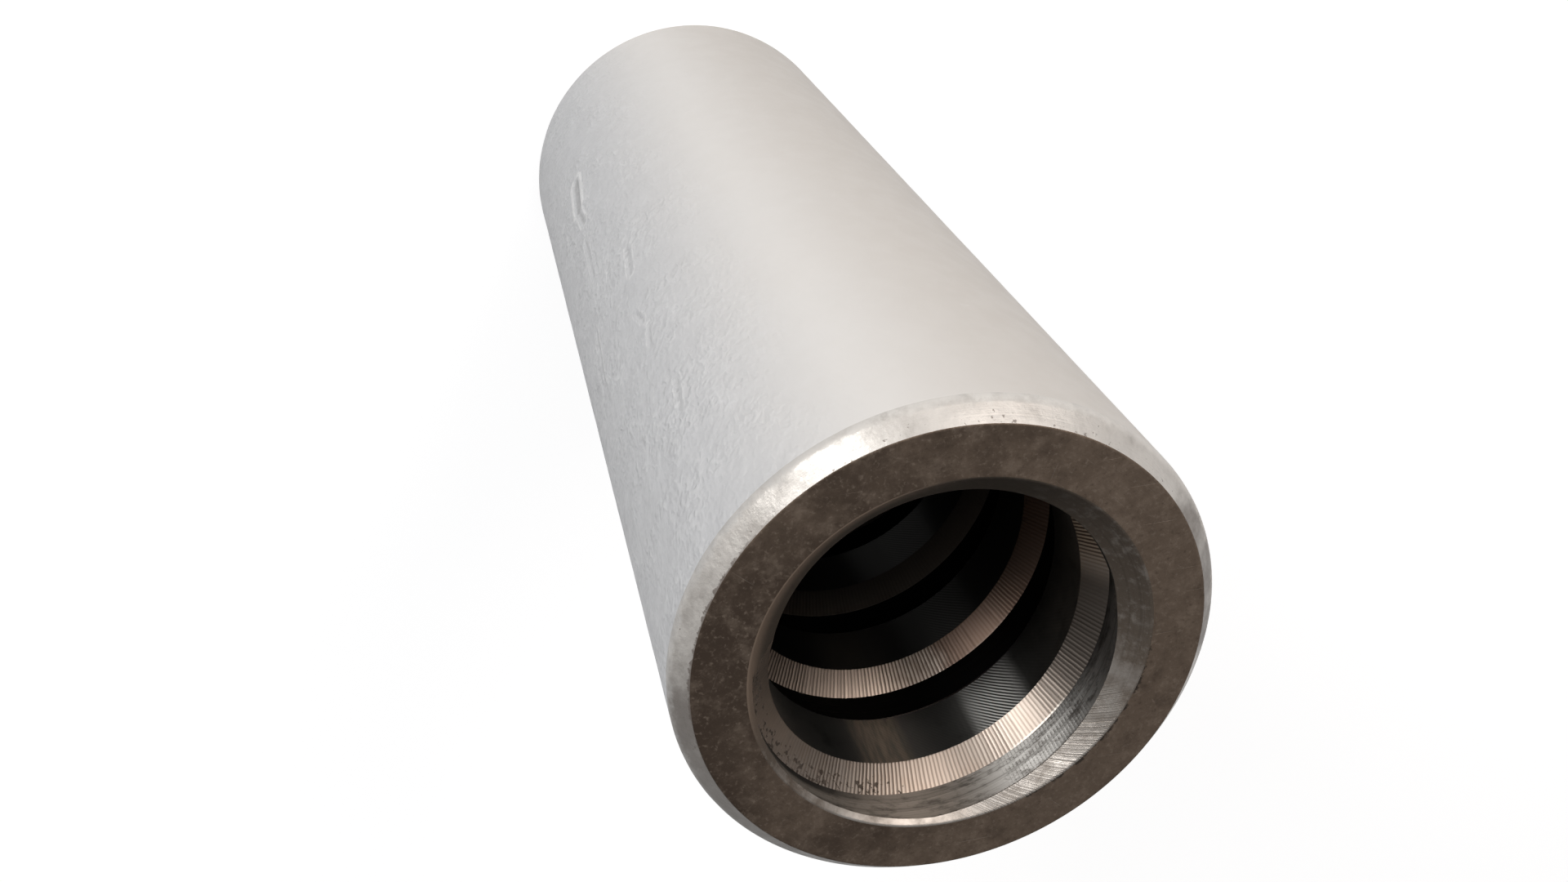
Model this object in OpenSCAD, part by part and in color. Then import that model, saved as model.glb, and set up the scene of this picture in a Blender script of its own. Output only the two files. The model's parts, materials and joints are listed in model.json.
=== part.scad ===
// Threaded steel sleeve that joins two ribbed reinforcing bars end to end.
// The sleeve stands on one end: Z is its axis, and Z = 0 is its lower end face.
// The ribs rolled on such bars form a coarse thread, and the groove in the bore takes those ribs.

/* [Sleeve] */
// Outside diameter of the sleeve
outer_d = 54; // [50:0.5:80]
// Overall length, from end face to end face
length = 148; // [60:1:240]
// Size of the 45 degree chamfer round the outside of each end face
outer_chamfer = 1.9; // [0.5:0.1:3]

/* [Bore] */
// Diameter across the thread crests, which clears the core of the bar
crest_d = 34.5; // [32:0.1:37]
// Size of the 45 degree countersink at each mouth of the bore
mouth_chamfer = 2.55; // [0.5:0.05:3]

/* [Thread] */
// Way the thread turns
thread_hand = "left"; // [left, right]
// Advance of the thread in one turn
thread_pitch = 16; // [14:0.5:20]
// Depth of the groove below the crests
groove_depth = 1.85; // [1.2:0.05:2.2]
// Width of the flat root of the groove, measured along the axis
groove_root_w = 4.5; // [3:0.1:5]
// Slope of each flank, measured from a plane across the axis
flank_angle = 50; // [35:1:52]
// Angle about the axis at which the middle of the groove meets the upper end face
thread_start = 8; // [0:1:359]

/* [Hidden] */

// Segments of the turned profile, and steps in one turn of the groove
turned_steps = 144;
groove_steps = 48;

outer_r = outer_d / 2;
crest_r = crest_d / 2;
mouth_r = crest_r + mouth_chamfer;

// The cutter reaches inwards past the crests, so that its inner wall lies in the empty bore.
cutter_rise = 0.5;
cutter_inner_r = crest_r - cutter_rise;
cutter_inner_w = groove_root_w + 2 * (groove_depth + cutter_rise) * tan(flank_angle);

// Its chords touch the root circle from outside, so that a bar's rib clears the root all round.
cutter_root_r = (crest_r + groove_depth) / cos(180 / groove_steps);

// It runs out past both end faces by its own width. One turn of the groove is 360 degrees.
run_out_angle = 360 * cutter_inner_w / thread_pitch;
cut_angle = 360 * length / thread_pitch + 2 * run_out_angle;
stations = ceil(cut_angle / 360 * groove_steps);
turn_sign = thread_hand == "left" ? 1 : -1;

// Turning done at station i, counted down the sleeve from the upper end face, in degrees.
function turned(i) = i * 360 / groove_steps - run_out_angle;

// One point of the groove's section at station i: radius r, height dz from the groove's middle.
function section_point(i, r, dz) =
  let (angle = thread_start + turn_sign * turned(i))
  [r * cos(angle), r * sin(angle), length - turned(i) * thread_pitch / 360 + dz];

// The four corners of the section, from the lower inner one outwards and up.
function section(i) = [
  section_point(i, cutter_inner_r, -cutter_inner_w / 2),
  section_point(i, cutter_root_r, -groove_root_w / 2),
  section_point(i, cutter_root_r, groove_root_w / 2),
  section_point(i, cutter_inner_r, cutter_inner_w / 2)
];

// The two triangles between stations i and i + 1 along side k of the section.
function wall_pair(i, k) =
  let (a = 4 * i + k, b = 4 * i + (k + 1) % 4, c = a + 4, d = b + 4)
  [[a, b, d], [a, d, c]];

// A face list seen from the other side, for a thread that turns the other way.
function flipped(faces) = [for (face = faces) [for (i = [len(face) - 1 : -1 : 0]) face[i]]];

// Helical cutter: the space that a bar's rib needs as it screws in.
module groove_cutter() {
  last = 4 * stations;
  points = [for (i = [0 : stations]) each section(i)];
  walls = [for (i = [0 : stations - 1], k = [0 : 3]) each wall_pair(i, k)];
  caps = [[3, 2, 1, 0], [last, last + 1, last + 2, last + 3]];
  faces = concat(walls, caps);
  polyhedron(points, turn_sign > 0 ? faces : flipped(faces), convexity = 12);
}

// Turned blank: chamfered outside, bored to the crests and countersunk at both mouths.
module turned_blank() {
  rotate_extrude($fn = turned_steps)
    polygon([
      [mouth_r, 0],
      [outer_r - outer_chamfer, 0],
      [outer_r, outer_chamfer],
      [outer_r, length - outer_chamfer],
      [outer_r - outer_chamfer, length],
      [mouth_r, length],
      [crest_r, length - mouth_chamfer],
      [crest_r, mouth_chamfer]
    ]);
}

module coupler_sleeve() {
  color([0.80, 0.79, 0.77])
    difference() {
      turned_blank();
      groove_cutter();
    }
}

coupler_sleeve();
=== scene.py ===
import json
import math

import bpy
from mathutils import Matrix, Vector


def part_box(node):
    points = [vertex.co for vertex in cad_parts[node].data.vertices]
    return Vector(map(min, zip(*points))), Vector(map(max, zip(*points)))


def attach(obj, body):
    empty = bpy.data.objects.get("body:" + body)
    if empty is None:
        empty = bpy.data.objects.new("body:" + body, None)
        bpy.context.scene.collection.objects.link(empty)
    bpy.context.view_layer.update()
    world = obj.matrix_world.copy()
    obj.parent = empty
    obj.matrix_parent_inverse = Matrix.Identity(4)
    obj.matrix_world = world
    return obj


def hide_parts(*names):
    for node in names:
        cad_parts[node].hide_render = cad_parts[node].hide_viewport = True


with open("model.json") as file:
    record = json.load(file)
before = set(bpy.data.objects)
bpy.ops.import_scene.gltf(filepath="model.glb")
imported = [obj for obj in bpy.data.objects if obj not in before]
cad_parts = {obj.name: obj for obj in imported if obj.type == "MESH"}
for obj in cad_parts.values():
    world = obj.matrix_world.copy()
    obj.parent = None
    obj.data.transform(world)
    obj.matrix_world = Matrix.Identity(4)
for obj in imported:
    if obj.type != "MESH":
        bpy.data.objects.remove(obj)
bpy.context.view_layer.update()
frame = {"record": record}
mm = 0.001
fullTurn = 2 * math.pi

nodeLow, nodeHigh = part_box("coupler_sleeve")
threadTop = next(m for m in frame["record"]["mounts"] if m["name"] == "thread_top")

# The turned sleeve: sizes in metres, angles in degrees
sleeve = {
    "outerRadius": nodeHigh.x,
    "length": nodeHigh.z,
    "outerChamfer": 1.9 * mm,
    "crestRadius": threadTop["dims"]["r_mm"] * mm,
    "mouthChamfer": nodeHigh.z - threadTop["pos_m"][2],
    "edgeRound": 0.25 * mm,  # break on the outer edges
    "skinRound": 1.3 * mm,
    "mouthRound": 0.35 * mm,
    "crestRound": 0.18 * mm,
    "roundSteps": 3,
    "supportGap": 0.12 * mm,  # row that keeps a flat side flat up to its round
    "skinMargin": 0.05 * mm,  # only points this near the outer radius get the skin's relief
    "skinRow": 0.9 * mm,
    "faceRow": 2.6 * mm,
    "markedSide": 315,  # middle of the side with the handling marks, which gets finer steps
    "markedSteps": 50,
    "markedStep": 0.65,
    "plainStep": 2.0,
    "softAngle": 22,  # edges that turn less than this are shaded smooth
    "mergeDistance": 0.002 * mm,
}

# The left-hand thread, counted down from the upper end face
thread = {
    "pitch": 16 * mm,
    "grooveDepth": 2.05 * mm,
    "rootWidth": 4.05 * mm,
    "flankAngle": 50,
    "startAngle": 8,
    "edgeBreak": 0.09 * mm,
    "rise": 0.5 * mm,  # how far the cutter reaches into the empty bore
    "passes": 3,  # tool passes side by side across the root
    "ridgeWidth": 0.2 * mm,
    "ridgeHeight": 0.025 * mm,
    "fineStep": 0.5,  # turning between stations near the mouths
    "coarseStep": 2.5,
    "fineTurns": 1.3,
    "chatter": 0.09 * mm,
    "chatterPerTurn": 262,
}

# Skin: depth of its relief in metres, and bumps per metre round the sleeve
relief = {
    "waveDepth": 0.05 * mm,
    "waveScale": 60.0,
    "lumpDepth": 0.1 * mm,
    "lumpScale": 620.0,
    "lumpStretch": 0.3,  # below 1 draws the lumps out along the sleeve
    "evenShare": 0.2,  # how much of the lumps shows away from the rough side
    "roughSide": 325,  # middle of the side with the coarsest scale
    "backSide": 115,  # and of a second one behind, where only the grain is coarse
    "fade": 0.4 * mm,  # the relief sets in over this height beside a chamfer
    "shadeDepth": 0.3 * mm,  # a handling mark of this depth has the full shade
    "rimPlace": 1.9,  # rim beside a mark, in half widths from its middle
    "rimSharpness": 2.5,
    "rimHeight": 0.3,  # as a share of the mark's depth
    "seed": 3.7,
}

# Old handling marks: angle, height mm, length mm, lean in degrees, depth mm, half width mm
handlingMarks = [
    (310, 44, 9, 8, 0.4, 0.7),
    (311, 52, 5, -4, 0.22, 0.5),
    (313, 66, 12, 3, 0.16, 0.4),
    (311, 70, 6, 2, 0.13, 0.35),
    (299, 82, 7, 8, 0.16, 0.4),
    (302, 97, 4, -12, 0.18, 0.3),
    (301, 103, 4, 10, 0.16, 0.3),
    (322, 89, 12, 8, 0.17, 0.4),
    (325, 92, 8, 6, 0.13, 0.35),
    (299, 120, 6, 9, 0.16, 0.35),
    (307, 78, 2, 15, 0.16, 0.35),
    (296, 108, 2, -20, 0.14, 0.3),
    (304, 87, 2, 30, 0.14, 0.3),
    (229, 128, 6, -25, 0.08, 0.35),
    (238, 61, 5, 60, 0.07, 0.35),
    (60, 95, 12, 5, 0.07, 0.5),
    (145, 40, 9, -8, 0.07, 0.5),
]

# The finish attribute of a face is its finish's place in this list
finishes = [
    "scaledSkin",
    "outerChamfer",
    "endFace",
    "countersink",
    "threadCrest",
    "threadFlank",
    "threadRoot",
]


class Value:
    # what a node puts out; arithmetic on it adds Math nodes to its tree
    def __init__(self, socket):
        self.socket = socket
        self.tree = socket.id_data

    def __add__(self, other):
        return calc("ADD", self, other)

    def __sub__(self, other):
        return calc("SUBTRACT", self, other)

    def __rsub__(self, other):
        return calc("SUBTRACT", other, self)

    def __mul__(self, other):
        return calc("MULTIPLY", self, other)

    def __truediv__(self, other):
        return calc("DIVIDE", self, other)


def setInputs(node, inputs):
    # a value is linked to its input, and anything else is written into it
    for name, given in inputs.items():
        if isinstance(given, Value):
            given.tree.links.new(given.socket, node.inputs[name])
        else:
            node.inputs[name].default_value = given


def addNode(tree, nodeType, inputs=None, **settings):
    node = tree.nodes.new(nodeType)
    for name, setting in settings.items():
        setattr(node, name, setting)
    setInputs(node, inputs or {})
    return node


def fromNode(tree, nodeType, inputs=None, output=0, **settings):
    return Value(addNode(tree, nodeType, inputs, **settings).outputs[output])


def outputsOf(node):
    return {socket.name: Value(socket) for socket in node.outputs if socket.name}


def calc(operation, *operands, clamp=False):
    tree = next(operand.tree for operand in operands if isinstance(operand, Value))
    settings = {"operation": operation, "use_clamp": clamp}
    return fromNode(tree, "ShaderNodeMath", dict(enumerate(operands)), **settings)


def split(vector):
    node = addNode(vector.tree, "ShaderNodeSeparateXYZ", {0: vector})
    return [Value(socket) for socket in node.outputs]


def joined(x, y, z=0):
    return fromNode(x.tree, "ShaderNodeCombineXYZ", {"X": x, "Y": y, "Z": z})


def sized(vector):
    inputs = {0: vector}
    return fromNode(vector.tree, "ShaderNodeVectorMath", inputs, "Value", operation="LENGTH")


def newTree(name, treeType, inputs, outputs):
    # inputs and outputs: for each kind of socket, the names of its sockets
    tree = bpy.data.node_groups.new(name, treeType)
    for way, sockets in (("INPUT", inputs), ("OUTPUT", outputs)):
        for kind, names in sockets.items():
            for socket in names:
                tree.interface.new_socket(socket, in_out=way, socket_type="NodeSocket" + kind)
    return tree, outputsOf(tree.nodes.new("NodeGroupInput"))


def roundedCorner(before, corner, after, radius, steps):
    # arc that touches both sides of a corner, as points in (radius, height)
    def unit(a, b):
        size = math.dist(a, b)
        return (b[0] - a[0]) / size, (b[1] - a[1]) / size

    inward, outward = unit(corner, before), unit(corner, after)
    half = math.acos(inward[0] * outward[0] + inward[1] * outward[1]) / 2
    reach = radius / math.tan(half)
    middle = [inward[i] + outward[i] for i in (0, 1)]
    size = math.hypot(*middle)
    centre = [corner[i] + middle[i] / size * radius / math.sin(half) for i in (0, 1)]
    start = [corner[i] + inward[i] * reach for i in (0, 1)]
    end = [corner[i] + outward[i] * reach for i in (0, 1)]
    first = math.atan2(start[1] - centre[1], start[0] - centre[0])
    last = math.atan2(end[1] - centre[1], end[0] - centre[0])
    sweep = (last - first + math.pi) % fullTurn - math.pi
    angles = [first + sweep * i / steps for i in range(steps + 1)]
    return [(centre[0] + radius * math.cos(a), centre[1] + radius * math.sin(a)) for a in angles]


def wallSection():
    s = sleeve
    outer, crest, length = s["outerRadius"], s["crestRadius"], s["length"]
    mouth = crest + s["mouthChamfer"]
    shoulder = outer - s["outerChamfer"]
    # each corner, its round, the finish of the side that follows, and that side's row length
    corners = [
        ((mouth, 0), s["mouthRound"], "endFace", s["faceRow"]),
        ((shoulder, 0), s["edgeRound"], "outerChamfer", s["faceRow"]),
        ((outer, s["outerChamfer"]), s["skinRound"], "scaledSkin", s["skinRow"]),
        ((outer, length - s["outerChamfer"]), s["skinRound"], "outerChamfer", s["faceRow"]),
        ((shoulder, length), s["edgeRound"], "endFace", s["faceRow"]),
        ((mouth, length), s["mouthRound"], "countersink", s["faceRow"]),
        ((crest, length - s["mouthChamfer"]), s["crestRound"], "threadCrest", length),
        ((crest, s["mouthChamfer"]), s["crestRound"], "countersink", s["faceRow"]),
    ]
    arcs = []
    for i, (corner, radius, _, _) in enumerate(corners):
        before, after = corners[i - 1][0], corners[(i + 1) % len(corners)][0]
        arcs.append(roundedCorner(before, corner, after, radius, s["roundSteps"]))
    points, finish = [], []
    for i, (_, _, name, row) in enumerate(corners):
        start, end = arcs[i][-1], arcs[(i + 1) % len(corners)][0]
        for point in arcs[i][:-1]:
            points.append(point)
            finish.append(name)
        size = math.dist(start, end)
        rows = max(1, round((size - 2 * s["supportGap"]) / row))
        inner = size - 2 * s["supportGap"]
        along = [0, *(s["supportGap"] + inner * k / rows for k in range(rows + 1))]
        for distance in along:
            share = distance / size
            points.append(tuple(start[k] + (end[k] - start[k]) * share for k in (0, 1)))
            finish.append(name)
    return points, finish


def grooveSection():
    t = thread
    slope = math.tan(math.radians(t["flankAngle"]))
    crest = sleeve["crestRadius"]
    root = crest + t["grooveDepth"]
    halfRoot = t["rootWidth"] / 2
    halfMouth = halfRoot + t["grooveDepth"] * slope
    lip = t["edgeBreak"]
    # radius, height, finish of the side that starts here, and share of the chatter
    upper = [(root, halfRoot, "threadFlank", 0.3)]
    upper.append((crest + lip, halfMouth - lip * slope, "threadFlank", 1))
    upper.append((crest - lip / 2, halfMouth + lip, "threadFlank", 1))
    upper.append((crest - t["rise"], halfMouth + t["rise"] * slope, "threadFlank", 0))
    ridges = []
    for i in range(1, t["passes"]):
        middle = -halfRoot + t["rootWidth"] * i / t["passes"]
        ridges.append((root, middle - t["ridgeWidth"] / 2, "threadRoot", 0))
        ridges.append((root - t["ridgeHeight"], middle, "threadRoot", 0))
        ridges.append((root, middle + t["ridgeWidth"] / 2, "threadRoot", 0))
    # anticlockwise in (radius, height): lower side outwards, root upwards, upper side inwards
    lower = [(r, -z, name, moves) for r, z, name, moves in reversed(upper)]
    lower[-1] = (root, -halfRoot, "threadRoot", 0.3)
    points = lower + ridges + upper
    return [p[:2] for p in points], [p[2] for p in points], [p[3] for p in points]


def newObject(name, data):
    made = bpy.data.objects.new(name, data)
    bpy.context.scene.collection.objects.link(made)
    return made


def sectionObject(name, points, finish, moves=None):
    mesh = bpy.data.meshes.new(name)
    closed = points + points[:1]
    mesh.from_pydata([(r, 0, z) for r, z in closed], [], [])
    layer = mesh.attributes.new("finish", "INT", "POINT")
    layer.data.foreach_set("value", [finishes.index(f) for f in finish + finish[:1]])
    layer = mesh.attributes.new("moves", "FLOAT", "POINT")
    moves = moves or [0] * len(points)
    layer.data.foreach_set("value", moves + moves[:1])
    return newObject(name, mesh)


# Short forms of the nodes that read and write attributes
def sampled(geometry, what, index, kind="FLOAT"):
    inputs = {"Geometry": geometry, "Value": what, "Index": index}
    return fromNode(geometry.tree, "GeometryNodeSampleIndex", inputs, data_type=kind)


def named(tree, name, kind="FLOAT"):
    return fromNode(tree, "GeometryNodeInputNamedAttribute", {"Name": name}, data_type=kind)


def stored(geometry, name, what, kind, domain):
    inputs = {"Geometry": geometry, "Name": name, "Value": what}
    settings = {"data_type": kind, "domain": domain}
    return fromNode(geometry.tree, "GeometryNodeStoreNamedAttribute", inputs, **settings)


def gridPlace(index, count):
    # row of a point or face in the grid, and its place in that row
    row = calc("FLOOR", (index + 0.5) / count)
    return row, index - row * count


def makeSweepGroup():
    # sweeps a closed section round the axis, with fine stations at both ends of the way
    steps = ("fineStep", "coarseStep", "startTurn", "startHeight", "risePerTurn")
    inputs = {
        "Geometry": ["section"],
        "Int": ["fineStations", "coarseStations"],
        "Float": [*steps, "pinch", "chatter", "chatterPerTurn"],
    }
    outputs = {"Geometry": ["mesh"]}
    tree, given = newTree("sweepSection", "GeometryNodeTree", inputs, outputs)
    section = given["section"]
    fine, coarse = given["fineStations"], given["coarseStations"]

    size = {"Geometry": section}
    count = fromNode(tree, "GeometryNodeAttributeDomainSize", size, "Point Count")
    last = fine * 2 + coarse
    sizes = {"Vertices X": last + 1, "Vertices Y": count, "Size X": 1, "Size Y": 1}
    grid = fromNode(tree, "GeometryNodeMeshGrid", sizes)

    index = fromNode(tree, "GeometryNodeInputIndex")
    station, place = gridPlace(index, count)
    where = fromNode(tree, "GeometryNodeInputPosition")
    cornerX, _, cornerZ = split(sampled(section, where, place, "FLOAT_VECTOR"))
    moves = sampled(section, named(tree, "moves"), place)

    # turning done at this station: fine, then coarse, then fine again
    first = calc("MINIMUM", station, fine)
    after = station - fine
    middle = calc("MINIMUM", calc("MAXIMUM", after, 0), coarse)
    final = calc("MAXIMUM", after - coarse, 0)
    turned = (first + final) * given["fineStep"] + middle * given["coarseStep"]
    turns = turned / fullTurn

    # the ends close to a point where the way is pinched
    atStart = calc("LESS_THAN", station, 0.5)
    atEnd = calc("GREATER_THAN", station, last - 0.5)
    keep = 1 - (atStart + atEnd) * given["pinch"]

    wave = lineNoise(turns * given["chatterPerTurn"], 2, 0.7)
    shake = (wave - 0.5) * given["chatter"] * moves
    climb = turns * given["risePerTurn"] + given["startHeight"]
    height = cornerZ * keep + shake + climb
    base = split(sampled(section, where, 0, "FLOAT_VECTOR"))[0]
    radius = base + (cornerX - base) * keep
    angle = given["startTurn"] + turned
    position = joined(radius * calc("COSINE", angle), radius * calc("SINE", angle), height)

    # each face has the finish of the section's side it comes from
    side = gridPlace(index, count - 1)[1]
    finish = sampled(section, named(tree, "finish", "INT"), side, "INT")
    mesh = stored(grid, "finish", finish, "INT", "FACE")
    mesh = fromNode(tree, "GeometryNodeSetPosition", {"Geometry": mesh, "Position": position})
    closing = {"Geometry": mesh, "Distance": sleeve["mergeDistance"]}
    mesh = fromNode(tree, "GeometryNodeMergeByDistance", closing)
    addNode(tree, "NodeGroupOutput", {"mesh": mesh})
    return tree


def skinRelief(given, where):
    # waves and lumps, both counted from near their tops so that they stay inside the solid
    x, y, z = split(where)

    def bumps(vector, scale):
        inputs = {"Vector": vector, "W": given["seed"], "Scale": scale, "Detail": 1}
        return fromNode(where.tree, "ShaderNodeTexNoise", inputs, noise_dimensions="4D")

    wave = bumps(where, given["waveScale"])
    lumps = bumps(joined(x, y, z * given["lumpStretch"]), given["lumpScale"])
    facing = calc("COSINE", calc("ARCTAN2", y, x) - given["roughSide"])
    rougher = calc("DIVIDE", facing - 0.2, 0.6, clamp=True)
    share = rougher * (1 - given["evenShare"]) + given["evenShare"]
    return (wave - 0.75) * given["waveDepth"] + (lumps - 0.7) * given["lumpDepth"] * share


def markRelief(marks):
    # each handling mark is a pit with a low rim beside it
    nearest = fromNode(marks.tree, "GeometryNodeSampleNearest", {"Geometry": marks})
    edges = {"Geometry": marks}
    distance = fromNode(
        marks.tree, "GeometryNodeProximity", edges, "Distance", target_element="EDGES"
    )
    share = distance / sampled(marks, named(marks.tree, "halfWidth"), nearest)
    pit = calc("EXPONENT", calc("POWER", share, 2) * -1)
    rim = calc("POWER", share - relief["rimPlace"], 2) * -relief["rimSharpness"]
    rim = calc("EXPONENT", rim) * relief["rimHeight"]
    return (rim - pit) * sampled(marks, named(marks.tree, "depth"), nearest)


def makeSleeveTree(values, materials):
    # each value becomes an input of the tree, under its own name
    kinds = {bpy.types.Object: "Object", int: "Int", float: "Float"}
    inputs = {}
    for name, given in values.items():
        inputs.setdefault(kinds[type(given)], []).append(name)
    outputs = {"Geometry": ["mesh"]}
    tree, given = newTree("threadedSleeve", "GeometryNodeTree", inputs, outputs)
    sweepGroup = makeSweepGroup()

    def shapeOf(name):
        return fromNode(tree, "GeometryNodeObjectInfo", {"Object": given[name]}, "Geometry")

    def swept(section, **inputs):
        inputs["section"] = shapeOf(section)
        return fromNode(tree, "GeometryNodeGroup", inputs, node_tree=sweepGroup)

    wall = swept(
        "wallSection",
        fineStations=given["markedSteps"],
        coarseStations=given["plainSteps"],
        fineStep=given["markedStep"],
        coarseStep=given["plainStep"],
        startTurn=given["markedSide"],
    )
    shared = ("fineStations", "coarseStations", "fineStep", "coarseStep", "startTurn")
    shared += ("startHeight", "chatter", "chatterPerTurn")
    alike = {name: given[name] for name in shared}
    cutter = swept("grooveSection", risePerTurn=given["pitch"] * -1, pinch=1, **alike)

    # relief of the skin fades out towards the turned chamfers
    where = fromNode(tree, "GeometryNodeInputPosition")
    x, y, z = split(where)
    inset = calc("MINIMUM", z, given["length"] - z) - given["outerChamfer"]
    weight = calc("DIVIDE", inset, given["fade"], clamp=True)
    dent = markRelief(shapeOf("handlingMarks"))
    wall = stored(wall, "markShade", dent * (-1 / relief["shadeDepth"]), "FLOAT", "POINT")
    depth = (skinRelief(given, where) + dent) * weight
    flat = joined(x, y)
    outward = fromNode(tree, "ShaderNodeVectorMath", {0: flat}, operation="NORMALIZE")
    offset = {0: outward, "Scale": depth}
    offset = fromNode(tree, "ShaderNodeVectorMath", offset, operation="SCALE")
    outside = calc("GREATER_THAN", sized(flat), sleeve["outerRadius"] - sleeve["skinMargin"])
    inputs = {"Geometry": wall, "Selection": outside, "Offset": offset}
    wall = fromNode(tree, "GeometryNodeSetPosition", inputs)

    boolean = {"operation": "DIFFERENCE", "solver": "MANIFOLD"}
    inputs = {"Mesh 1": wall, "Mesh 2": cutter}
    mesh = fromNode(tree, "GeometryNodeMeshBoolean", inputs, **boolean)
    angle = fromNode(tree, "GeometryNodeInputMeshEdgeAngle")
    soft = calc("LESS_THAN", angle, math.radians(sleeve["softAngle"]))
    for domain, smooth in (("FACE", True), ("EDGE", soft)):
        inputs = {"Geometry": mesh, "Shade Smooth": smooth}
        mesh = fromNode(tree, "GeometryNodeSetShadeSmooth", inputs, domain=domain)
    mesh = fromNode(tree, "GeometryNodeRealizeInstances", {"Geometry": mesh})
    finish = named(tree, "finish", "INT")
    for i, name in enumerate(finishes):
        inputs = {"Geometry": mesh, "Material": materials[name]}
        if i:  # the first covers all, the others take their own faces back
            inputs["Selection"] = calc("COMPARE", finish, i, 0.5)
        mesh = fromNode(tree, "GeometryNodeSetMaterial", inputs)
    addNode(tree, "NodeGroupOutput", {"mesh": mesh})
    return tree


def marksObject():
    points, edges, depths, widths = [], [], [], []
    steps = 5
    for angle, height, length, lean, depth, halfWidth in handlingMarks:
        for i in range(steps + 1):
            along = (i / steps - 0.5) * length * mm
            turn = math.radians(angle) + along * math.sin(math.radians(lean)) / sleeve["outerRadius"]
            z = height * mm + along * math.cos(math.radians(lean))
            r = sleeve["outerRadius"]
            points.append((r * math.cos(turn), r * math.sin(turn), z))
            depths.append(depth * mm)
            widths.append(halfWidth * mm)
            if i:
                edges.append((len(points) - 2, len(points) - 1))
    mesh = bpy.data.meshes.new("handlingMarks")
    mesh.from_pydata(points, edges, [])
    mesh.attributes.new("depth", "FLOAT", "POINT").data.foreach_set("value", depths)
    mesh.attributes.new("halfWidth", "FLOAT", "POINT").data.foreach_set("value", widths)
    return newObject("handlingMarks", mesh)


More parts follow.
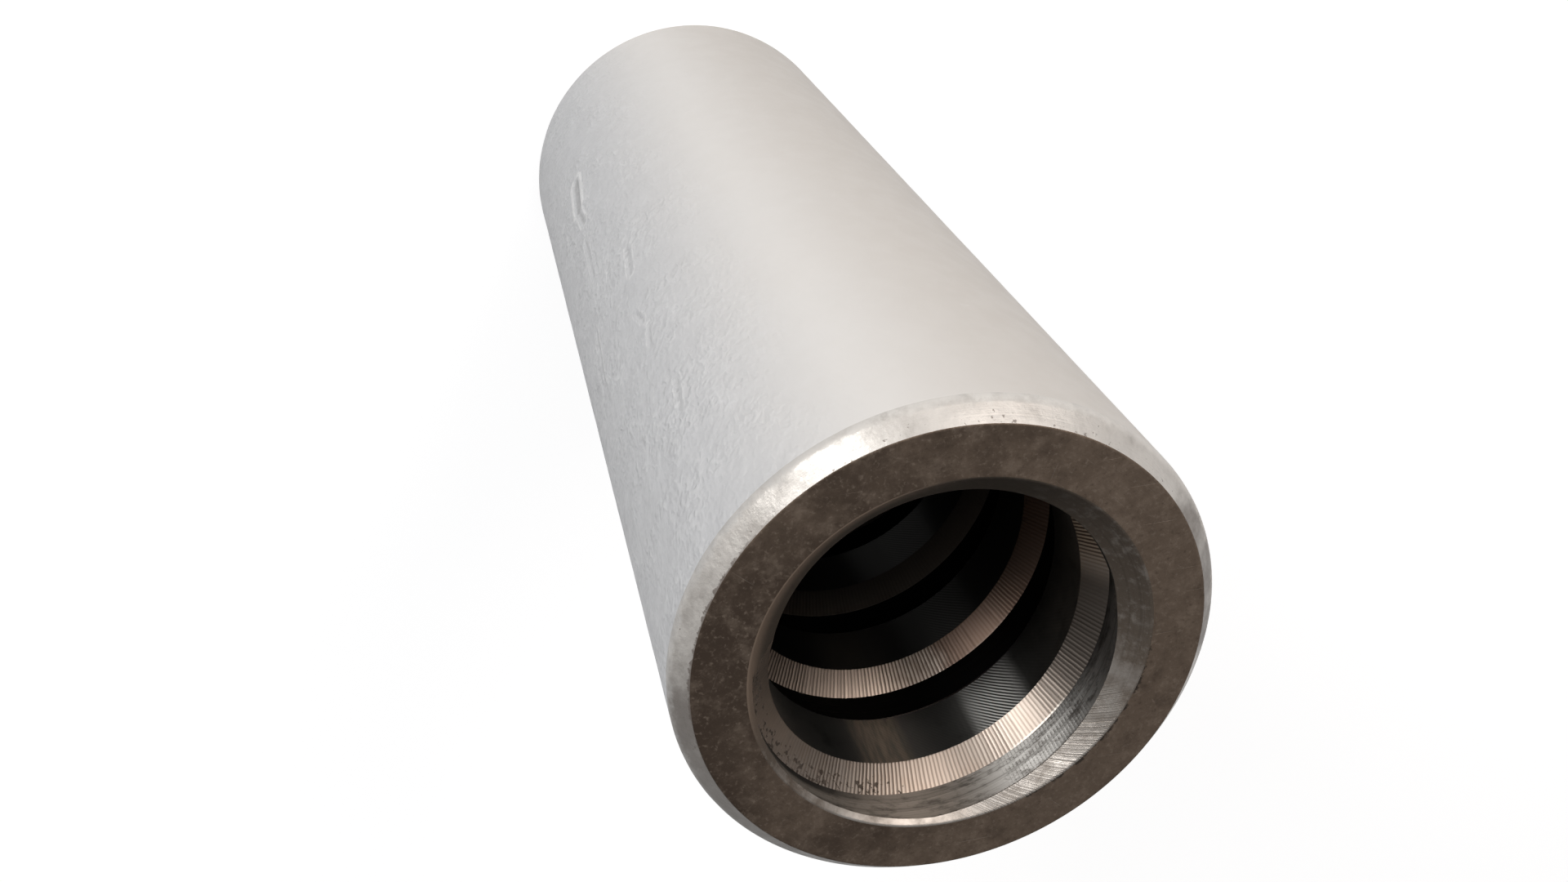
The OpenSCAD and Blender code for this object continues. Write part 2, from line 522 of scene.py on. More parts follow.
# Colours are linear; sizes of grain and lines are in metres
finishLooks = {
    "scaledSkin": {
        "base": (0.75, 0.73, 0.705),
        "roughBase": (0.605, 0.61, 0.622),
        "warmBase": (0.64, 0.61, 0.575),
        "warmSide": 210,
        "hollow": (0.5, 0.5, 0.505),
        # pale tone of the clouds, also the painted highlight on the grain's tips
        "tip": (0.76, 0.765, 0.77),
        "dirt": (0.22, 0.215, 0.21),
        "rubbed": (0.84, 0.84, 0.84),
        "grain": 0.9 * mm,
        "grainDepth": 0.2 * mm,
        "metallic": 0.1,
        "roughness": 0.55,
        "specular": 0.2,
    },
    "outerChamfer": {
        "base": (0.575, 0.55, 0.52),
        "dull": (0.22, 0.2, 0.183),
        "paleScale": (0.63, 0.61, 0.58),
        "oldScale": (0.44, 0.43, 0.42),
        "speck": (0.14, 0.115, 0.1),
        "skinReach": 0.5 * mm,
        "dullSide": 14,  # angle where the turned edge is darkest, with painted shade
        # a second side of the turned edge darkened with painted shade
        "dimSide": 170,
        "coarseSide": 322,  # and where it is as rough as the skin
        "wornOff": (0.27, 0.245, 0.225),
        "feed": 0.22 * mm,
        "metallic": 0.32,
        "roughness": 0.31,
    },
    "endFace": {
        "dark": (0.068, 0.047, 0.034),
        "middle": (0.142, 0.104, 0.077),
        "light": (0.24, 0.19, 0.15),
        "lightSide": 150,
        "fleck": (0.3, 0.25, 0.2),
        "scratch": (0.25, 0.21, 0.18),
        "chip": (0.02, 0.016, 0.013),
        "chipFreeSide": 125,
        "metallic": 0.6,
        "roughness": 0.46,
    },
    "countersink": {
        "base": (0.44, 0.41, 0.38),
        "dark": (0.12, 0.097, 0.078),
        "cleanSide": 84,  # angle where the cut is painted lightest; away from it painted shade darkens it with the stain
        "grime": (0.042, 0.033, 0.025),
        # side of the cut turned from the lamps, drawn near black as painted shade
        "grimySide": 284,
        "faceTone": (0.19, 0.142, 0.108),
        "softSide": 305,  # angle where the cut fades into the face
        "feed": 0.3 * mm,
        "strokeSide": 106,
        "strokesPerTurn": 510,
        "strokesPerMetre": 6200,
        "specular": 0.25,
        "roughness": 0.36,
    },
    "threadCrest": {
        "base": (0.13, 0.125, 0.117),
        "dark": (0.016, 0.015, 0.013),
        "film": (0.027, 0.026, 0.024),  # painted shade further into the bore
        "filmReach": (13 * mm, 22 * mm),
        "bare": (0.7, 0.69, 0.665),
        "linedSide": 100,  # angle where the tool chattered; the bare colour drawn there is a painted glint
        # a warm painted glint where the second lamp shines
        "warm": (0.34, 0.28, 0.22),
        "warmSide": 54,
        "feed": 0.57 * mm,
        "linesPerTurn": 230,
        "roughness": 0.31,
        "glint": 1,
    },
    "threadFlank": {
        "base": (0.34, 0.291, 0.253),
        "clean": (0.64, 0.53, 0.455),
        "cleanStretch": (0.92, 1.15),  # turns of thread where the flank is painted lighter, as painted light
        "edge": (0.6, 0.57, 0.53),  # painted highlight: a bright line beside the root
        "tick": (0.42, 0.36, 0.3),
        "dark": (0.07, 0.05, 0.038),
        "stain": (0.3, 0.235, 0.19),
        "pit": (0.05, 0.038, 0.03),
        "brown": (0.072, 0.044, 0.032),
        "brownTurns": (1.27, 1.35),  # where painted shadow in brown sets in, and below it the painted shade further in
        "filmTurns": (1.6, 2.0),
        "pittedTurns": 0.12,  # the flank is pitted this far from where the thread starts
        "film": (0.11, 0.095, 0.08),
        "grey": (0.032, 0.029, 0.026),
        "edgeSide": 107,
        "greyStretch": (0.31, 0.43),  # turns of thread where the flank is darkened with painted shade
        "linesPerTurn": 262,
        "roughness": 0.37,
    },
    "threadRoot": {
        "base": (0.66, 0.645, 0.62),
        "brown": (0.34, 0.3, 0.26),
        "brownTurns": (0.17, 0.26),  # the root is brown up to here
        "dark": (0.11, 0.096, 0.082),
        "grey": (0.04, 0.037, 0.034),
        "film": (0.003, 0.0028, 0.0026),
        "filmReach": (8 * mm, 13 * mm),  # in from the mouth, where it starts and is full
        "linesPerTurn": 290,
        "linedSide": 108,
        "greyStretch": (0.35, 0.46),
        "roughness": 0.54,
        "glint": 0.83,
    },
}


def makePlaceGroup():
    # where a point lies on the sleeve: turn, radius, height, and turns and offset along the thread
    names = ("Turn", "Radius", "Height", "Thread Turns", "Thread Offset")
    outputs = {"Float": names, "Vector": ["Place"]}
    tree = newTree("sleevePlace", "ShaderNodeTree", {}, outputs)[0]
    where = fromNode(tree, "ShaderNodeTexCoord", output="Object")
    x, y, z = split(where)
    turn = calc("ARCTAN2", y, x) / fullTurn
    started = calc("FRACT", turn - thread["startAngle"] / 360 + 1)
    down = (sleeve["length"] - z) / thread["pitch"]
    along = started + calc("ROUND", down - started)
    aside = (down - along) * thread["pitch"]
    values = dict(zip(names, (turn, sized(joined(x, y)), z, along, aside)))
    addNode(tree, "NodeGroupOutput", {**values, "Place": where})
    return tree


def noise(vector, size, detail=2, roughness=0.5, seed=0.0, drawn=None):
    # drawn: below 1 on an axis draws the pattern out along it
    if drawn:
        stretched = {0: vector, 1: drawn}
        vector = fromNode(vector.tree, "ShaderNodeVectorMath", stretched, operation="MULTIPLY")
    inputs = {"Vector": vector, "W": seed, "Scale": 1 / size, "Detail": detail}
    inputs["Roughness"] = roughness
    return fromNode(vector.tree, "ShaderNodeTexNoise", inputs, noise_dimensions="4D")


def lineNoise(phase, detail=2, roughness=0.6):
    inputs = {"W": phase, "Scale": 1, "Detail": detail, "Roughness": roughness}
    return fromNode(phase.tree, "ShaderNodeTexNoise", inputs, noise_dimensions="1D")


def cells(vector, size):
    inputs = {"Vector": vector, "Scale": 1 / size}
    return fromNode(vector.tree, "ShaderNodeTexVoronoi", inputs, feature="F1")


def between(amount, low, high, start=0.0, end=1.0):
    # goes smoothly from start to end as the amount goes from low to high
    inputs = {"Value": amount, "From Min": low, "From Max": high, "To Min": start, "To Max": end}
    settings = {"interpolation_type": "SMOOTHSTEP"}
    return fromNode(amount.tree, "ShaderNodeMapRange", inputs, "Result", **settings)


def alongThread(turns, rise, fall, share=1):
    # comes in over one span of turns and goes out over another
    return between(turns, *rise) * between(turns, *fall, share, 0)


def blend(share, first, second):
    # the first colour where the share is 0, and the second where it is 1
    first, second = (c if isinstance(c, Value) else (*c, 1) for c in (first, second))
    inputs = {0: share, 6: first, 7: second}
    return fromNode(share.tree, "ShaderNodeMix", inputs, 2, data_type="RGBA")


def lift(height, distance):
    # normal of a surface raised by the distance where the height is 1
    inputs = {"Height": height, "Distance": distance, "Strength": 1}
    return fromNode(height.tree, "ShaderNodeBump", inputs)


def scratches(vector, direction, width, length, rarity, seed):
    inputs = {"Vector": vector, "Angle": math.radians(direction)}
    turned = fromNode(vector.tree, "ShaderNodeVectorRotate", inputs)
    streaks = noise(turned, width, 0, 0.5, seed, (width / length, 1, 1))
    return between(streaks, rarity, rarity + 0.06)


def facingSide(place, side, low, high, start=0.0, end=1.0):
    # goes from start to end as the surface turns towards a side, given as an angle
    angle = place["Turn"] * fullTurn - math.radians(side)
    return between(calc("COSINE", angle), low, high, start, end)


def startMaterial(name):
    material = bpy.data.materials.new(name)
    material.use_nodes = True
    tree = material.node_tree
    place = outputsOf(addNode(tree, "ShaderNodeGroup", node_tree=placeGroup))
    return finishLooks[name], material, tree.nodes["Principled BSDF"], place, place["Place"]


def makeScaledSkin():
    look, material, shader, place, spot = startMaterial("scaledSkin")
    worms = noise(spot, look["grain"], 1, 0.5, seed=2.1, drawn=(1, 1, 0.6))
    worms = between(calc("ABSOLUTE", worms * 2 - 1), 0, 0.35, 1, 0)
    pebbles = noise(spot, look["grain"] * 0.9, 1, 0.5, seed=5.2, drawn=(1, 1, 0.75))
    pebbles = between(pebbles, 0.35, 0.65)
    streaks = noise(spot, look["grain"] * 1.8, 1, 0.5, seed=3.4, drawn=(1, 1, 0.3))
    side = facingSide(place, relief["roughSide"], 0.45, 0.97, 0.06, 1)
    back = facingSide(place, relief["backSide"], -0.3, 0.5, 0, 0.6)
    patchy = between(noise(spot, 7 * mm, 2, 0.5, seed=9.0), 0.35, 0.6, 0.4, 1)
    rough = calc("MAXIMUM", side, back) * patchy
    height = pebbles * 0.4 + worms * 0.28 + streaks * 0.8
    cloud = noise(spot, 22 * mm, 3, 0.5, seed=4.0)
    color = blend(between(cloud, 0.3, 0.7, 0, 0.15), look["base"], look["tip"])
    # darker, bluer on the rough side: partly the coarser scale, partly painted shade on the side the
    # lamps reach less
    color = blend(side, color, look["roughBase"])
    color = blend(facingSide(place, look["warmSide"], 0.55, 0.97), color, look["warmBase"])
    # painted shade in the hollows of the grain and painted highlight on its tips, on the rough side
    low = between(height, 0.6, 0.3, 0, 0.25) * rough
    color = blend(low, color, look["hollow"])
    high = between(height, 0.8, 1.2, 0, 0.45) * rough
    color = blend(high, color, look["tip"])
    # each handling mark has painted shade in the middle and a painted highlight on its rim
    mark = fromNode(spot.tree, "ShaderNodeAttribute", output="Fac", attribute_name="markShade")
    color = blend(between(mark, 0.15, 0.9, 0, 0.38), color, look["dirt"])
    color = blend(between(mark, -0.04, -0.16, 0, 0.6), color, look["rubbed"])
    gloss = noise(spot, 3 * mm, 3, 0.6, seed=6.0)
    low, high = look["roughness"] - 0.08, look["roughness"] + 0.08
    setInputs(shader, {
        "Base Color": color,
        "Metallic": look["metallic"],
        "Roughness": between(gloss, 0.3, 0.7, low, high),
        "Specular IOR Level": look["specular"],
        "Normal": lift(height * rough, look["grainDepth"]),
    })
    return material


def makeOuterChamfer():
    look, material, shader, place, spot = startMaterial("outerChamfer")
    # the scaled skin reaches raggedly over the turned edge
    ragged = noise(spot, 1.3 * mm, 4, 0.65, seed=1.0)
    reach = ragged * (2.2 * mm) + place["Radius"]
    edge = sleeve["outerRadius"] + look["skinReach"]
    skinShare = between(reach, edge, edge + 0.9 * mm)
    stain = noise(spot, 5 * mm, 5, 0.65, seed=8.0)
    # stain noise plus painted shade on two sides
    dullSide = facingSide(place, look["dullSide"], 0.6, 0.99, 0, 0.45)
    dimSide = facingSide(place, look["dimSide"], 0.9, 0.99, 0, 0.3)
    stainAndShade = between(stain + (dullSide + dimSide), 0.4, 0.9)
    color = blend(stainAndShade, look["base"], look["dull"])
    inner = sleeve["outerRadius"] - sleeve["outerChamfer"]
    nearFace = between(place["Radius"], inner + 1.5 * mm, inner, 0, 0.08)
    wide = noise(spot, 8 * mm, 1, 0.5, seed=5.0)
    speck = wide * 0.25 + noise(spot, 0.42 * mm, 3, 0.6, seed=7.0) + nearFace
    color = blend(between(speck, 0.84, 0.9, 0, 0.75), color, look["speck"])
    side = facingSide(place, relief["roughSide"], 0.3, 0.95, 0, 0.8)
    scale = blend(side, look["paleScale"], look["oldScale"])
    color = blend(skinShare, color, scale)
    grains = noise(spot, 0.7 * mm, 4, 0.65, seed=9.0)
    coarse = facingSide(place, look["coarseSide"], 0.8, 0.98)
    color = blend(between(grains, 0.54, 0.38, 0, 0.25) * coarse, color, look["wornOff"])
    # a ragged dark line where the turned edge meets the face
    seam = grains * (-1.1 * mm) + place["Radius"]
    seam = between(seam, inner - 0.42 * mm, inner - 0.3 * mm, 0.8, 0)
    color = blend(seam * coarse, color, look["speck"])
    rings = lineNoise(place["Radius"] / look["feed"], 2)
    grit = noise(spot, 0.5 * mm, 3, 0.6, seed=3.0)
    height = rings * 0.3 + grit + grains * coarse * 2.5
    rough = skinShare * 0.2 + look["roughness"] + stainAndShade * 0.15
    setInputs(shader, {
        "Base Color": color,
        "Metallic": (1 - skinShare) * look["metallic"],
        "Roughness": rough + between(ragged, 0.35, 0.65, 0, 0.08),
        "Normal": lift(height, 0.035 * mm),
    })
    return material


def makeEndFace():
    look, material, shader, place, spot = startMaterial("endFace")
    clouds = noise(spot, 9 * mm, 6, 0.62, seed=1.0)
    # painted light: the face is drawn lighter towards one side
    clouds = clouds + facingSide(place, look["lightSide"], -1, 1, -0.14, 0.28)
    mottle = noise(spot, 2.2 * mm, 5, 0.7, seed=2.0)
    color = blend(between(clouds, 0.3, 0.66), look["dark"], look["middle"])
    color = blend(between(mottle, 0.47, 0.7, 0, 0.4), color, look["light"])
    color = blend(between(mottle, 0.47, 0.3, 0, 0.5), color, look["dark"])
    grains = noise(spot, 0.55 * mm, 3, 0.7, seed=6.0)
    color = blend(between(grains, 0.52, 0.72, 0, 0.6), color, look["light"])
    color = blend(between(grains, 0.45, 0.28, 0, 0.6), color, look["dark"])
    fleck = mottle * -0.35 + cells(spot, 1.1 * mm)
    color = blend(between(fleck, -0.18, -0.1, 0.4, 0), color, look["fleck"])
    marks = scratches(spot, 20, 0.13 * mm, 6 * mm, 0.8, 3.0)
    for direction, seed in ((65, 5.0), (130, 7.0)):
        more = scratches(spot, direction, 0.12 * mm, 4 * mm, 0.8, seed)
        marks = calc("MAXIMUM", marks, more)
    color = blend(marks * 0.3, color, look["scratch"])
    # dark ragged patches where the mouth breaks into the face
    mouth = sleeve["crestRadius"] + sleeve["mouthChamfer"]
    patches = noise(spot, 1.6 * mm, 4, 0.7, seed=8.0)
    reach = patches * (-3.2 * mm) + place["Radius"]
    reach = reach + facingSide(place, look["chipFreeSide"], 0.7, 0.95, 0.6 * mm, 0)
    patches = between(reach, mouth - 1.6 * mm, mouth - 1.3 * mm, 0.8, 0)
    color = blend(patches, color, look["chip"])
    rings = lineNoise(place["Radius"] / (0.25 * mm), 2)
    height = rings * 0.35 + mottle + marks * -0.5
    low, high = look["roughness"] - 0.1, look["roughness"] + 0.14
    setInputs(shader, {
        "Base Color": color,
        "Metallic": look["metallic"],
        "Roughness": between(mottle, 0.3, 0.7, low, high),
        "Normal": lift(height, 0.02 * mm),
    })
    return material


def makeCountersink():
    look, material, shader, place, spot = startMaterial("countersink")
    wander = noise(spot, 1.2 * mm, 2, 0.5, seed=4.0)
    around = place["Turn"] * look["strokesPerTurn"] + wander
    up = place["Height"] * look["strokesPerMetre"]
    lines = lineNoise(around - up, 1)
    stain = noise(spot, 3 * mm, 5, 0.65, seed=2.0)
    # painted light on one side of the cut, painted shade away from it, mixed with the stain
    clean = facingSide(place, look["cleanSide"], -0.2, 1, 0.5, 0)
    stainAndShade = between(stain + clean, 0.36, 0.84)
    color = blend(stainAndShade, look["base"], look["dark"])
    grit = noise(spot, 0.45 * mm, 3, 0.65, seed=3.0)
    color = blend(between(grit, 0.54, 0.78, 0, 0.3) * stainAndShade, color, look["base"])
    worn = noise(spot, 1.6 * mm, 4, 0.6, seed=17.0)
    color = blend(between(worn, 0.5, 0.66, 0, 0.3) * stainAndShade, color, look["base"])
    rings = lineNoise(place["Radius"] / look["feed"], 2)
    color = blend(between(rings, 0.52, 0.34, 0, 0.22) * stainAndShade, color, look["grime"])
    # painted shade: the near side of the cut, which faces away from the lamps, is drawn almost black
    shadedShare = facingSide(place, look["grimySide"], -0.1, 0.75)
    color = blend(shadedShare * 0.95, color, look["grime"])
    mouth = sleeve["crestRadius"] + sleeve["mouthChamfer"]
    outer = between(place["Radius"], mouth - 1.7 * mm, mouth, 0, 0.9)
    softly = facingSide(place, look["softSide"], 0.5, 0.9)
    color = blend(outer * softly, color, look["faceTone"])
    fresh = facingSide(place, look["strokeSide"], 0.8, 0.95)
    strokes = between(lines, 0.54, 0.4) * fresh
    color = blend(strokes * 0.5, color, look["dark"])
    setInputs(shader, {
        "Base Color": color,
        "Metallic": calc("MULTIPLY_ADD", shadedShare, -0.4, stainAndShade * -0.5 + 1, clamp=True),
        "Roughness": stainAndShade * 0.15 + look["roughness"],
        "Specular IOR Level": look["specular"],
        "Normal": lift(strokes * -0.6 + grit, 0.025 * mm),
    })
    return material


def turnedGlint(shader, amount):
    # fine turning lines spread the shine along the sleeve
    tangent = {"direction_type": "RADIAL", "axis": "Z"}
    setInputs(shader, {
        "Anisotropic": amount,
        "Anisotropic Rotation": 0.25,
        "Tangent": fromNode(shader.id_data, "ShaderNodeTangent", **tangent),
    })


def furtherIn(place, near, far, share):
    # grows from nothing to the share with the distance from the nearer end
    inside = calc("MINIMUM", place["Height"], sleeve["length"] - place["Height"])
    inside = noise(place["Place"], 6 * mm, 3, 0.6, seed=11.0) * (5 * mm) + inside
    return between(inside, near, far, 0, share)


def makeThreadCrest():
    look, material, shader, place, spot = startMaterial("threadCrest")
    slant = place["Turn"] * look["linesPerTurn"] - place["Height"] / look["feed"]
    wander = noise(spot, 2 * mm, 2, 0.5, seed=1.0)
    chatter = calc("SINE", (wander * 0.4 + slant) * fullTurn) * 0.5 + 0.5
    rings = lineNoise(place["Height"] / (0.25 * mm), 2)
    stain = noise(spot, 4 * mm, 4, 0.6, seed=2.0)
    color = blend(between(stain, 0.45, 0.8, 0, 0.6), look["base"], look["dark"])
    # painted glint: bright bare metal drawn where the lamp shines on the land, where the chatter
    # lines are also strongest
    glintAndChatter = facingSide(place, look["linedSide"], 0.972, 0.999)
    color = blend(glintAndChatter, color, look["bare"])
    # a warm painted glint from the second lamp, broken into streaks
    warm = facingSide(place, look["warmSide"], 0.978, 1.0)
    streaks = noise(spot, 0.5 * mm, 3, 0.6, seed=8.0, drawn=(1, 1, 0.12))
    warm = warm * between(streaks, 0.3, 0.65, 0.35, 1)
    color = blend(warm, color, look["warm"])
    strength = glintAndChatter * 0.9 + 0.1
    lines = between(chatter, 0.85, 0.35, 0, 0.95) * strength
    color = blend(lines, color, look["dark"])
    # painted shade further into the bore, where the lines fade too
    film = furtherIn(place, *look["filmReach"], 0.97)
    color = blend(film, color, look["film"])
    height = (rings * 0.3 + chatter * strength) * (1 - film)
    setInputs(shader, {
        "Base Color": color,
        "Metallic": 1,
        "Roughness": look["roughness"],
        "Normal": lift(height, 0.01 * mm),
    })
    turnedGlint(shader, look["glint"])
    return material


def makeThreadFlank():
    look, material, shader, place, spot = startMaterial("threadFlank")
    turns = place["Thread Turns"]
    wander = noise(spot, 2.2 * mm, 2, 0.5, seed=1.0)
    phase = wander * 0.4 + turns * look["linesPerTurn"]
    uneven = lineNoise(phase * 0.7, 1, 0.7)
    lines = calc("SINE", phase * fullTurn) * uneven * 0.6 + 0.5
    depth = between(lineNoise(turns * 13, 1), 0.35, 0.62, 0.5, 1)
    # the lines are weak where the thread starts, and on the bare length in the painted shade
    start, end = look["greyStretch"]
    grey = alongThread(turns, (start - 0.08, start + 0.02), (end - 0.02, end + 0.01), 0.74)
    bare = between(turns, end - 0.06, end - 0.01, 1, 0.2)
    bare = calc("MAXIMUM", bare, between(turns, end, end + 0.02))
    depth = depth * bare * between(turns, 0, 0.09, 0.15, 1)
    dark = between(lines, 0.58, 0.3) * depth
    stain = noise(spot, 3 * mm, 4, 0.6, seed=2.0)
    base = blend(between(stain, 0.5, 0.75, 0, 0.5), look["base"], look["stain"])
    # painted light: a lighter stretch of the flank
    first, last = look["cleanStretch"]
    clean = alongThread(turns, (first - 0.05, first), (last, last + 0.05))
    base = blend(clean, base, look["clean"])
    color = blend(dark * 0.85, base, look["dark"])
    root = sleeve["crestRadius"] + thread["grooveDepth"]
    entry = between(turns, look["pittedTurns"], look["pittedTurns"] + 0.06, 0.1, -0.1)
    outer = between(place["Radius"], root - 1.5 * mm, root - 0.7 * mm, -0.1, 0.06)
    pits = between(entry + noise(spot, 0.6 * mm, 3, 0.6, seed=5.0) + outer, 0.68, 0.76)
    color = blend(pits * 0.8, color, look["pit"])
    # painted shade over the shaded stretch of the flank
    color = blend(grey, color, look["grey"])
    # past the painted shade the tool chattered harder
    harder = alongThread(turns, (end - 0.01, end + 0.03), (end + 0.12, end + 0.2))
    ticks = blend(between(lines, 0.66, 0.36), look["tick"], look["dark"])
    color = blend(harder, color, ticks)
    # painted highlight: a bright line beside the root on the lamp's side
    edge = between(place["Radius"], root - 0.14 * mm, root - 0.08 * mm)
    bright = facingSide(place, look["edgeSide"], 0.975, 0.995, 0, 0.35)
    color = blend(edge * bright, color, look["edge"])
    # turns from the nearer mouth, with a ragged front
    turns = calc("MINIMUM", turns, sleeve["length"] / thread["pitch"] - turns)
    turns = noise(spot, 5 * mm, 3, 0.6, seed=12.0) * 0.2 + turns
    # painted shadow in brown, then painted shade, further into the bore
    color = blend(between(turns, *look["brownTurns"], 0, 0.88), color, look["brown"])
    color = blend(between(turns, *look["filmTurns"], 0, 0.85), color, look["film"])
    setInputs(shader, {
        "Base Color": color,
        "Metallic": 1,
        "Roughness": pits * 0.3 + look["roughness"],
        "Normal": lift(lines * depth + pits * -0.5, 0.02 * mm),
    })
    return material


def makeThreadRoot():
    look, material, shader, place, spot = startMaterial("threadRoot")
    turns = place["Thread Turns"]
    drift = noise(spot, 5 * mm, 2, 0.5, seed=7.0)
    offset = drift * (0.3 * mm) + place["Thread Offset"]
    lengthwise = lineNoise(offset / (0.26 * mm), 3, 0.6)
    stain = noise(spot, 2.2 * mm, 5, 0.7, seed=2.0, drawn=(1, 1, 2.5))
    color = blend(between(turns, *look["brownTurns"], 1, 0), look["base"], look["brown"])
    color = blend(between(stain, 0.46, 0.66, 0, 0.75), color, look["dark"])
    color = blend(between(lengthwise, 0.5, 0.34, 0, 0.4), color, look["dark"])
    # short strokes across the root where the tool chattered
    cross = calc("SINE", turns * look["linesPerTurn"] * fullTurn)
    cross = cross * between(lengthwise, 0.42, 0.56)
    cross = cross * facingSide(place, look["linedSide"], 0.93, 0.985)
    color = blend(between(cross, 0.1, 0.7, 0, 0.55), color, look["dark"])
    # painted shade in the corner beside the flank where the groove begins
    corner = between(place["Thread Offset"], 0.6 * mm, 1.5 * mm, 0, 0.93)
    corner = corner * between(turns, 0.04, 0.13, 1, 0)
    color = blend(corner, color, look["grey"])
    # painted shade over a stretch of the root
    start, end = look["greyStretch"]
    grey = alongThread(turns, (start - 0.07, start + 0.02), (end - 0.02, end + 0.01), 0.8)
    color = blend(grey, color, look["grey"])
    # painted shade further into the bore
    color = blend(furtherIn(place, *look["filmReach"], 1), color, look["film"])
    setInputs(shader, {
        "Base Color": color,
        "Metallic": 1,
        "Roughness": look["roughness"],
        "Normal": lift(cross * -0.3 + lengthwise, 0.02 * mm),
    })
    turnedGlint(shader, look["glint"])
    return material


placeGroup = makePlaceGroup()
materials = {
    "scaledSkin": makeScaledSkin(),
    "outerChamfer": makeOuterChamfer(),
    "endFace": makeEndFace(),
    "countersink": makeCountersink(),
    "threadCrest": makeThreadCrest(),
    "threadFlank": makeThreadFlank(),
    "threadRoot": makeThreadRoot(),
}
print("materials:", len(materials))


def makeSleeve():
    wall = sectionObject("wallSection", *wallSection())
    groovePoints, grooveFinish, moves = grooveSection()
    groove = sectionObject("grooveSection", groovePoints, grooveFinish, moves)
    marks = marksObject()

    # stations round the wall, and along the thread with a run-out past both ends
    plainTurn = 360 - 2 * sleeve["markedSteps"] * sleeve["markedStep"]
    plainSteps = round(plainTurn / sleeve["plainStep"])
    sectionHeight = max(z for _, z in groovePoints) * 2
    runOut = sectionHeight / thread["pitch"]
    turns = sleeve["length"] / thread["pitch"] + 2 * runOut
    fineStations = round((thread["fineTurns"] + runOut) * 360 / thread["fineStep"])
    fineTurned = fineStations * thread["fineStep"] / 360
    coarseStations = math.ceil((turns - 2 * fineTurned) * 360 / thread["coarseStep"])
    values = {
        "wallSection": wall,
        "grooveSection": groove,
        "handlingMarks": marks,
        "markedSteps": sleeve["markedSteps"],
        "plainSteps": plainSteps,
        "fineStations": fineStations,
        "coarseStations": coarseStations,
        "startHeight": sleeve["length"] + sectionHeight,
    }
    degrees = {
        "markedSide": sleeve["markedSide"],
        "markedStep": sleeve["markedStep"],
        "plainStep": plainTurn / plainSteps,
        "fineStep": thread["fineStep"],
        "coarseStep": thread["coarseStep"],
        "startTurn": thread["startAngle"] - 360 * runOut,
        "roughSide": relief["roughSide"],
    }
    values.update({name: math.radians(angle) for name, angle in degrees.items()})
    reliefNames = ("waveDepth", "waveScale", "lumpDepth", "lumpScale", "lumpStretch")
    for source, names in (
        (sleeve, ("length", "outerChamfer")),
        (thread, ("pitch", "chatter", "chatterPerTurn")),
        (relief, (*reliefNames, "evenShare", "fade", "seed")),
    ):
        values.update({name: float(source[name]) for name in names})

    holder = newObject("sleeveHolder", bpy.data.meshes.new("sleeveHolder"))
    modifier = holder.modifiers.new("threadedSleeve", "NODES")
    modifier.node_group = makeSleeveTree(values, materials)
    for item in modifier.node_group.interface.items_tree:
        if item.name in values:
            modifier[item.identifier] = values[item.name]
    evaluated = holder.evaluated_get(bpy.context.evaluated_depsgraph_get())
    mesh = bpy.data.meshes.new_from_object(evaluated)
    mesh.name = "turnedSleeve"
    while mesh.materials and not mesh.materials[0]:
        mesh.materials.pop(index=0)
    piece = newObject("turnedSleeve", mesh)
    for helper in (holder, wall, groove, marks):
        bpy.data.objects.remove(helper)
    triangles = sum(len(p.vertices) - 2 for p in mesh.polygons)
    print("sleeve:", len(mesh.vertices), "vertices,", triangles, "triangles")
    return piece


# Camera: place in metres, elevation and roll in degrees
cameraView = {
    "place": (5.45 * mm, -93.26 * mm, 253.61 * mm),
    "elevation": 59.06,
    "roll": 154.33,
    "lens": 33.946,
}


def makeCamera():
    view = cameraView
    data = bpy.data.cameras.new("camera")
    data.lens = view["lens"]
    data.sensor_width = 36
    data.clip_start = 0.01
    camera = newObject("camera", data)
    tilt = Matrix.Rotation(math.radians(90 - view["elevation"]), 4, "X")
    roll = Matrix.Rotation(math.radians(view["roll"]), 4, "Z")
    camera.matrix_world = Matrix.Translation(view["place"]) @ tilt @ roll
    bpy.context.scene.camera = camera
    print("camera: lens", view["lens"], "mm")


# Lamps: angle and elevation in degrees, distance, size, share of light and colour. A share
# of 1 from one lamp shows a surface that faces it in its own colour.
studio = {
    "worldShare": 0.26,
    "worldColor": (0.96, 0.98, 1.0),
    "mirroredShade": 0.38,  # what polished surfaces see of the room
    "brighterSide": (-0.35, -0.9, 0.28),
    "falloff": 0.85,  # how much darker the far side of the room is, as a share
    "floorHalf": 6.0,
    "floorColor": (0.34, 0.34, 0.345),
    "floorLift": (0.8, 0.95),  # what is seen on top of the lit floor, near and far
    "liftReach": (0.4, 2.5),
    "lamps": {
        "keyLight": (-78, 30.5, 1.0, (0.5, 0.4), 0.53, (1.0, 0.985, 0.965)),
        "fillLight": (-149, 40, 1.0, (0.58, 0.46), 0.3, (1.0, 0.88, 0.79)),
        "softLight": (-108, 42, 1.2, (1.8, 1.2), 0.13, (1.0, 0.99, 0.98)),
    },
}


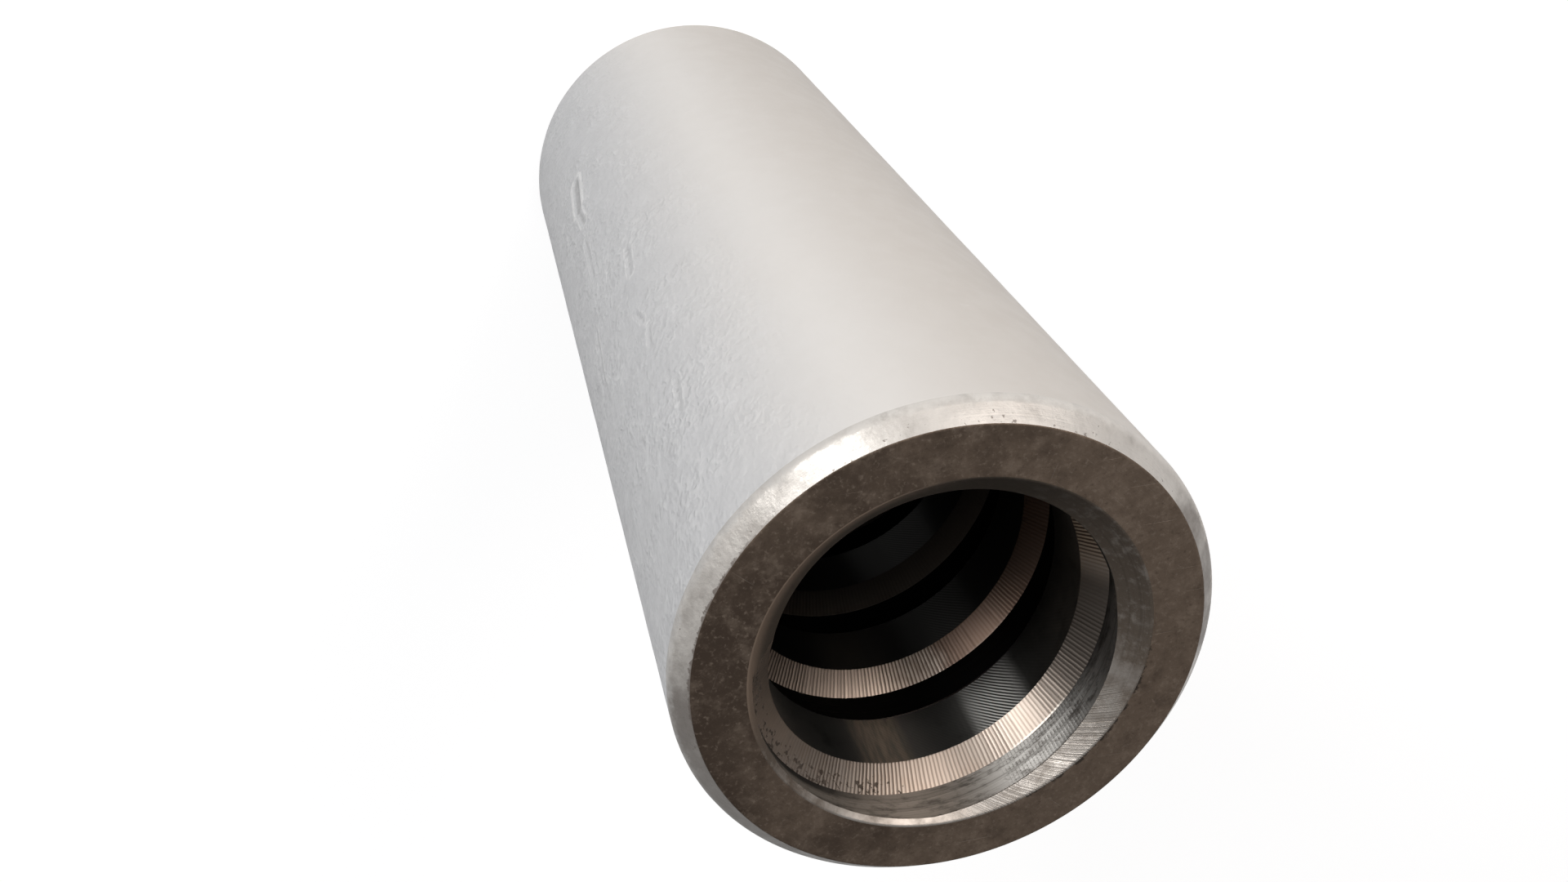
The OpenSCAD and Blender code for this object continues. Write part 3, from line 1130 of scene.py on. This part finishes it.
def makeWorld():
    world = bpy.data.worlds.new("studio")
    bpy.context.scene.world = world
    world.use_nodes = True
    tree = world.node_tree
    tree.nodes.clear()
    path = outputsOf(addNode(tree, "ShaderNodeLightPath"))
    mirrored = calc("MAXIMUM", path["Is Glossy Ray"], path["Is Transmission Ray"])
    share, shade = studio["worldShare"], studio["mirroredShade"]
    direction = fromNode(tree, "ShaderNodeTexCoord", output="Generated")
    towards = {0: direction, 1: studio["brighterSide"]}
    towards = fromNode(tree, "ShaderNodeVectorMath", towards, "Value", operation="DOT_PRODUCT")
    strength = (mirrored * (shade - share) + share) * (towards * studio["falloff"] + 1)
    seen = calc("MAXIMUM", mirrored, path["Is Camera Ray"])
    inputs = {
        "Color": blend(seen, studio["worldColor"], (1, 1, 1)),
        "Strength": calc("MAXIMUM", strength, path["Is Camera Ray"]),
    }
    addNode(tree, "ShaderNodeOutputWorld", {
        "Surface": fromNode(tree, "ShaderNodeBackground", inputs),
    })


def makeFloor():
    mesh = bpy.data.meshes.new("floor")
    half = studio["floorHalf"]
    corners = [(-half, -half, 0), (half, -half, 0), (half, half, 0), (-half, half, 0)]
    mesh.from_pydata(corners, [], [(0, 1, 2, 3)])
    floor = newObject("floor", mesh)
    paint = bpy.data.materials.new("paleFloor")
    paint.use_nodes = True
    tree = paint.node_tree
    path = outputsOf(addNode(tree, "ShaderNodeLightPath"))
    seen = calc("MAXIMUM", path["Is Camera Ray"], path["Is Glossy Ray"])
    seen = calc("MAXIMUM", seen, path["Is Transmission Ray"])
    # further off the floor is lifted more, so that it meets the white behind it
    off = sized(fromNode(tree, "ShaderNodeTexCoord", output="Object"))
    glow = seen * between(off, *studio["liftReach"], *studio["floorLift"])
    setInputs(tree.nodes["Principled BSDF"], {
        "Base Color": (*studio["floorColor"], 1),
        "Roughness": 0.9,
        "Specular IOR Level": 0,
        "Emission Color": (1, 1, 1, 1),
        "Emission Strength": glow,
    })
    mesh.materials.append(paint)


def makeLamps():
    middle = Vector((0, 0, sleeve["length"] / 2))
    for name, (turn, rise, distance, size, share, color) in studio["lamps"].items():
        lamp = bpy.data.lights.new(name, "AREA")
        lamp.shape = "RECTANGLE"
        lamp.size, lamp.size_y = size
        lamp.energy = share * math.pi * math.pi * distance**2
        lamp.color = color
        light = newObject(name, lamp)
        turn, rise = math.radians(turn), math.radians(rise)
        flat = math.cos(rise)
        away = Vector((flat * math.cos(turn), flat * math.sin(turn), math.sin(rise)))
        light.location = middle + away * distance
        light.rotation_mode = "QUATERNION"
        light.rotation_quaternion = away.to_track_quat("Z", "Y")


def makeStudio():
    bpy.context.scene.view_settings.view_transform = "Standard"
    makeWorld()
    makeFloor()
    makeLamps()
    print("studio: floor and", len(studio["lamps"]), "lamps")


makeCamera()
makeStudio()
turnedSleeve = makeSleeve()
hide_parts("coupler_sleeve")
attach(turnedSleeve, "root")
